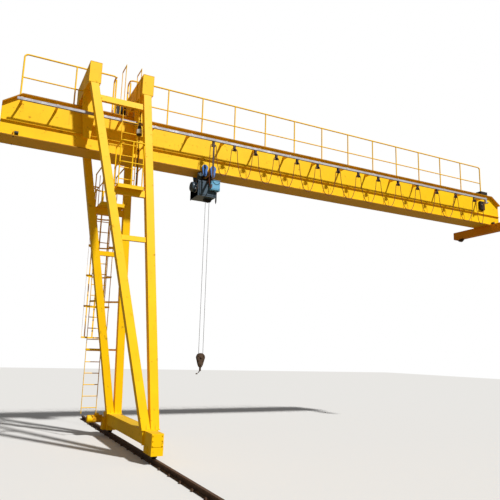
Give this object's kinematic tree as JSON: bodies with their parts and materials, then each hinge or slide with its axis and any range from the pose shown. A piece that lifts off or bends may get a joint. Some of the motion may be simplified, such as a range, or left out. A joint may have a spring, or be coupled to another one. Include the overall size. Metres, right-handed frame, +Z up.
{
  "type": "semi-gantry crane",
  "caption": "Overhead crane with one raised girder, an A-shaped leg on a ground rail at one side, a hoist trolley with hook, cable track, ladders and platforms.",
  "frame": {"origin": "centre of the ground rail's underside, below the middle of the leg's feet", "axes": "+X along the girder towards the building end, +Y along the ground rail, +Z up"},
  "size_m": [16.95, 12, 9.45],
  "materials": {
    "crane_yellow": "satin paint, weathered",
    "bare_steel": "running surfaces",
    "cable_black": "cable sheath",
    "galvanised": "galvanised",
    "rail_steel": "rolled rail",
    "hoist_grey": "slate grey paint",
    "hoist_blue": "sky blue paint",
    "rope_steel": "greased wire rope",
    "black_rubber": "matt"
  },
  "bodies": {
    "track": {"ground_rail": "rail_steel"},
    "near_wheel": {"near_ground_wheel": "bare_steel"},
    "far_wheel": {"far_ground_wheel": "bare_steel"},
    "trolley": {"trolley_plates": "hoist_blue", "trolley_wheels": "bare_steel", "trolley_beams": "hoist_blue", "trolley_motor": "hoist_grey", "hoist_body": "hoist_grey", "hoist_motor": "hoist_grey", "hoist_panel": "hoist_blue", "tow_arm": "galvanised", "tow_carrier": "galvanised", "hoist_ropes": "rope_steel"},
    "hook_block": {"hook_block": "hoist_grey", "hook_sheave": "crane_yellow"},
    "hook": {"hook": "hoist_grey"},
    "crane": {"building_end_carriage": "crane_yellow", "building_end_wheels": "bare_steel", "control_cabinet": "crane_yellow", "far_inner_leg": "crane_yellow", "far_leg_ties": "crane_yellow", "far_outer_leg": "crane_yellow", "far_platform": "crane_yellow", "far_platform_rail": "crane_yellow", "festoon_arms": "crane_yellow", "festoon_cable": "cable_black", "festoon_carriers": "galvanised", "festoon_end_clamp": "galvanised", "festoon_track": "galvanised", "girder_bottom_flange": "crane_yellow", "girder_end_plates": "crane_yellow", "girder_far_web": "crane_yellow", "girder_hangers": "crane_yellow", "girder_near_web": "crane_yellow", "girder_stiffeners": "crane_yellow", "girder_top_flange": "crane_yellow", "ground_beam": "crane_yellow", "ground_travel_motor": "crane_yellow", "ladder_cage": "crane_yellow", "left_handrail": "crane_yellow", "lower_ladder": "crane_yellow", "near_inner_leg": "crane_yellow", "near_leg_ties": "crane_yellow", "near_outer_leg": "crane_yellow", "near_platform": "crane_yellow", "near_platform_rail": "crane_yellow", "right_handrail": "crane_yellow", "trolley_stop_brackets": "crane_yellow", "trolley_stop_buffers": "black_rubber", "upper_ladder": "crane_yellow", "wheel_housings": "crane_yellow", "yoke_pedestals": "crane_yellow", "yokes": "crane_yellow"}
  },
  "joints": [
    {"name": "crane_travel", "type": "slide", "parent": "track", "child": "crane", "axis": [0, 1, 0], "range_m": [-3.6, 3.6]},
    {"name": "near_wheel_roll", "type": "hinge", "parent": "crane", "child": "near_wheel", "pos_m": [0, -2.01, 0.2703], "axis": [1, 0, 0], "continuous": true},
    {"name": "far_wheel_roll", "type": "hinge", "parent": "crane", "child": "far_wheel", "pos_m": [0, 2.01, 0.2703], "axis": [1, 0, 0], "continuous": true},
    {"name": "trolley_travel", "type": "slide", "parent": "crane", "child": "trolley", "axis": [1, 0, 0], "range_m": [-4.2, 8.6], "deforming": ["festoon_cable", "festoon_carriers"]},
    {"name": "hoist_lift", "type": "slide", "parent": "trolley", "child": "hook_block", "axis": [0, 0, 1], "range_m": [-1.2, 3.6], "deforming": ["hoist_ropes"]},
    {"name": "hook_swivel", "type": "hinge", "parent": "hook_block", "child": "hook", "pos_m": [1.78, 0, 1.9], "axis": [0, 0, 1], "continuous": true}
  ],
  "couplings": [
    {"joint": "near_wheel_roll", "follows": "crane_travel", "rad_per_m": -6.25},
    {"joint": "far_wheel_roll", "follows": "crane_travel", "rad_per_m": -6.25}
  ]
}
